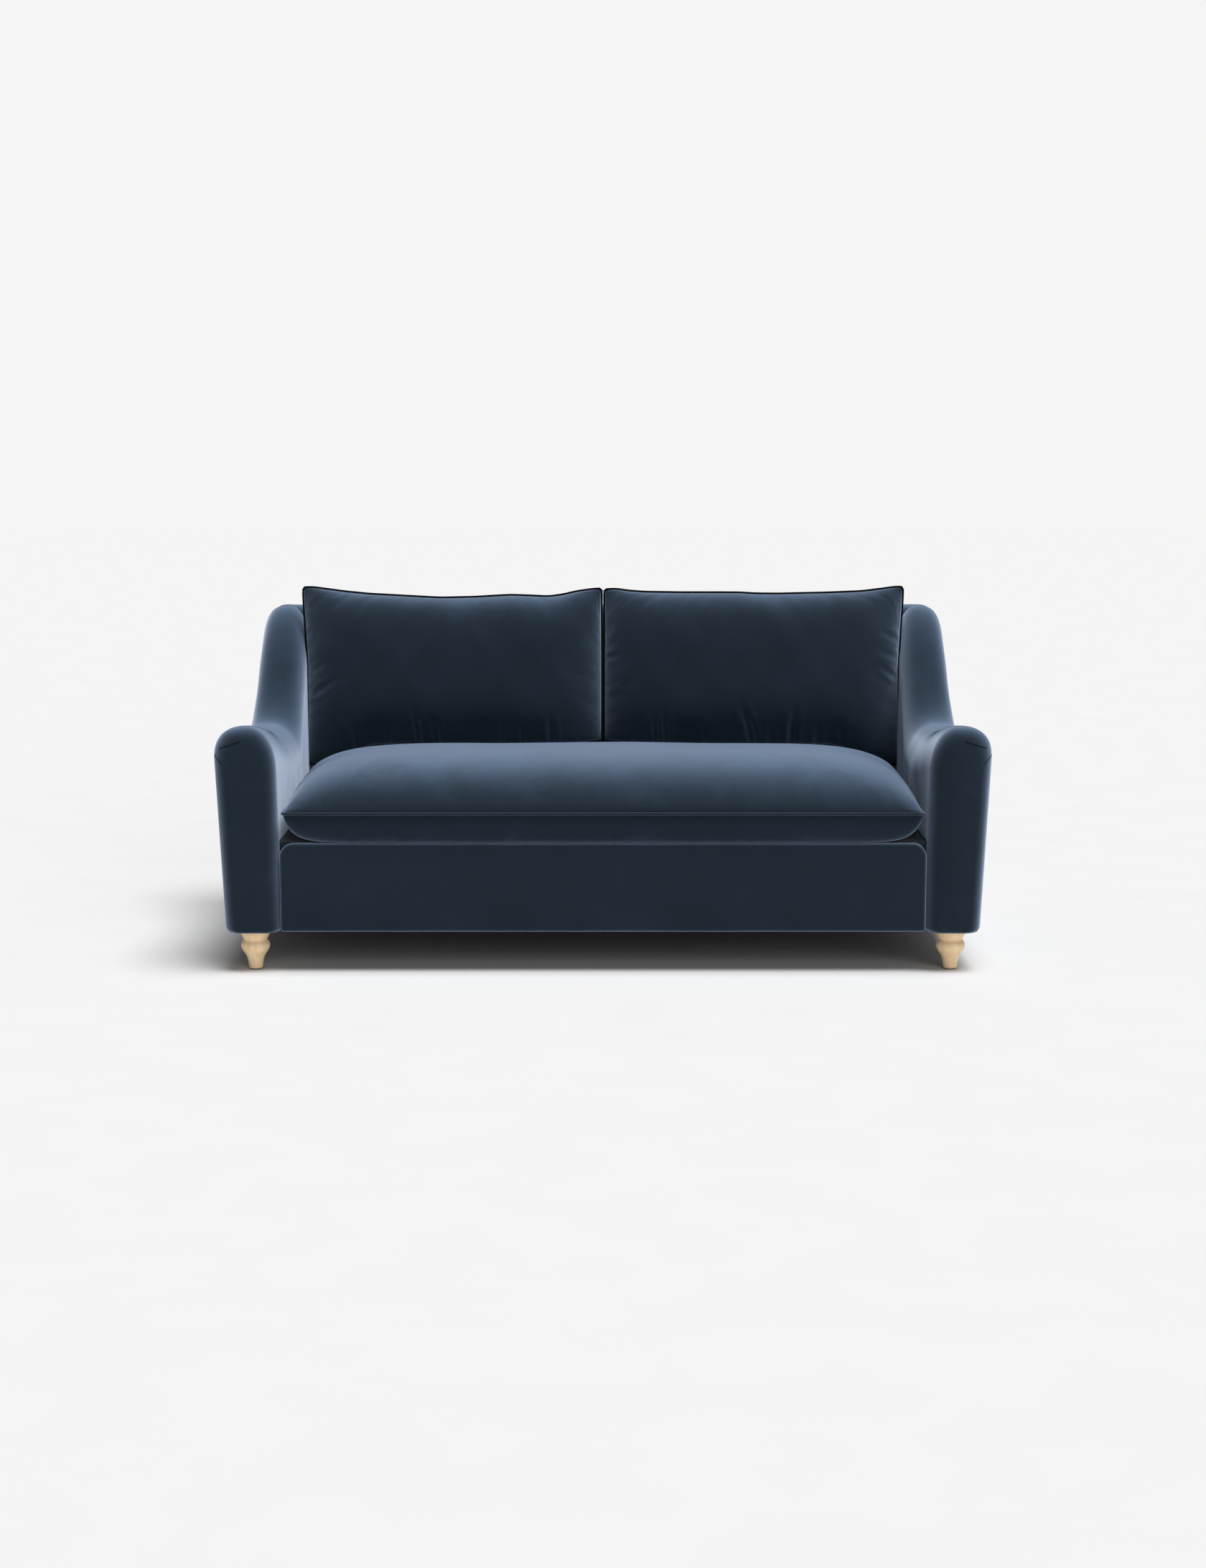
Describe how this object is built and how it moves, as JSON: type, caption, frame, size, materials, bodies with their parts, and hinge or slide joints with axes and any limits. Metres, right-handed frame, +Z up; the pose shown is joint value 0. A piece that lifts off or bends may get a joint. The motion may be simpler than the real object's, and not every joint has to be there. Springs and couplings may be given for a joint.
{
  "type": "sofa",
  "caption": "Low sofa with arms that sweep up into its back, one wide seat cushion, loose back cushions with raised corners, and short turned wooden legs.",
  "frame": {"origin": "on the floor, under the middle of the sofa's bounding box", "axes": "+X across the sofa to the right as seen from its front, +Y from its front to its back, +Z up"},
  "size_m": [1.8292, 0.96, 0.871],
  "materials": {
    "velvet": "soft pile velvet, deep ink blue",
    "velvet_piping": "dark navy piping cord, matt",
    "deck_cloth": "plain woven deck cloth",
    "dust_cloth": "thin black spunbond cloth",
    "webbing": "elastic webbing",
    "seat_foam": "open-cell foam",
    "fibre_fill": "bonded fibre in a cotton bag",
    "leg_beech": "satin lacquered pale beech",
    "frame_timber": "sawn softwood",
    "frame_ply": "birch plywood",
    "glide_felt": "hard plastic glide, matt",
    "zinc_steel": "bright zinc plate",
    "spring_steel": "oiled spring wire",
    "yellow_zinc": "yellow zinc plate",
    "zip_teeth": "nylon coil zip",
    "zip_metal": "nickel plated slider"
  },
  "bodies": {
    "sofa_frame": {"leg_front_left": "leg_beech", "leg_front_right": "leg_beech", "leg_rear_left": "leg_beech", "leg_rear_right": "leg_beech", "leg_glides": "glide_felt", "leg_hanger_bolts": "zinc_steel", "leg_tee_nuts": "zinc_steel", "leg_blocks": "frame_timber", "front_seat_rail": "frame_timber", "rear_seat_rail": "frame_timber", "base_back_rail": "frame_timber", "seat_stretchers": "frame_timber", "glue_blocks": "frame_timber", "arm_inner_ply_left": "frame_ply", "arm_inner_ply_right": "frame_ply", "arm_outer_ply_left": "frame_ply", "arm_outer_ply_right": "frame_ply", "arm_posts": "frame_timber", "back_rib_left": "frame_ply", "back_rib_mid_left": "frame_ply", "back_rib_mid_right": "frame_ply", "back_rib_right": "frame_ply", "back_top_rail": "frame_timber", "back_lumbar_rail": "frame_timber", "back_webbing": "webbing", "seat_springs": "spring_steel", "spring_clips": "zinc_steel", "spring_tie_wires": "spring_steel", "frame_screws": "yellow_zinc", "seat_deck_pad": "deck_cloth", "front_border_pad": "velvet", "inside_back_pad": "velvet", "back_top_pad": "velvet", "outside_back_panel": "velvet", "arm_front_pad_left": "velvet", "arm_front_pad_right": "velvet", "arm_inner_pad_left": "velvet", "arm_inner_pad_right": "velvet", "arm_outer_panel_left": "velvet", "arm_outer_panel_right": "velvet", "dust_cover": "dust_cloth"},
    "seat_cushion_body": {"seat_cushion_top": "velvet", "seat_cushion_base": "velvet", "seat_cushion_core": "seat_foam", "seat_cushion_piping": "velvet", "seat_cushion_zip": "zip_teeth"},
    "seat_slider_body": {"seat_zip_slider": "zip_metal"},
    "back_cushion_left_body": {"back_cushion_left_face": "velvet", "back_cushion_left_rear": "velvet", "back_cushion_left_core": "fibre_fill", "back_cushion_left_piping": "velvet_piping", "back_cushion_left_zip": "zip_teeth"},
    "left_slider_body": {"left_zip_slider": "zip_metal"},
    "back_cushion_right_body": {"back_cushion_right_face": "velvet", "back_cushion_right_rear": "velvet", "back_cushion_right_core": "fibre_fill", "back_cushion_right_piping": "velvet_piping", "back_cushion_right_zip": "zip_teeth"},
    "right_slider_body": {"right_zip_slider": "zip_metal"}
  },
  "joints": [
    {"name": "seat_cushion_pull", "type": "slide", "parent": "sofa_frame", "child": "seat_cushion_body", "axis": [0, -1, 0], "range_m": [0, 0.8]},
    {"name": "back_cushion_left_lift", "type": "slide", "parent": "sofa_frame", "child": "back_cushion_left_body", "axis": [0, 0, 1], "range_m": [0, 0.45]},
    {"name": "back_cushion_right_lift", "type": "slide", "parent": "sofa_frame", "child": "back_cushion_right_body", "axis": [0, 0, 1], "range_m": [0, 0.45]},
    {"name": "seat_zip_run", "type": "slide", "parent": "seat_cushion_body", "child": "seat_slider_body", "axis": [1, 0, 0], "range_m": [0, 1.01]},
    {"name": "left_zip_run", "type": "slide", "parent": "back_cushion_left_body", "child": "left_slider_body", "axis": [-1, 0, 0], "range_m": [0, 0.51]},
    {"name": "right_zip_run", "type": "slide", "parent": "back_cushion_right_body", "child": "right_slider_body", "axis": [1, 0, 0], "range_m": [0, 0.51]}
  ]
}
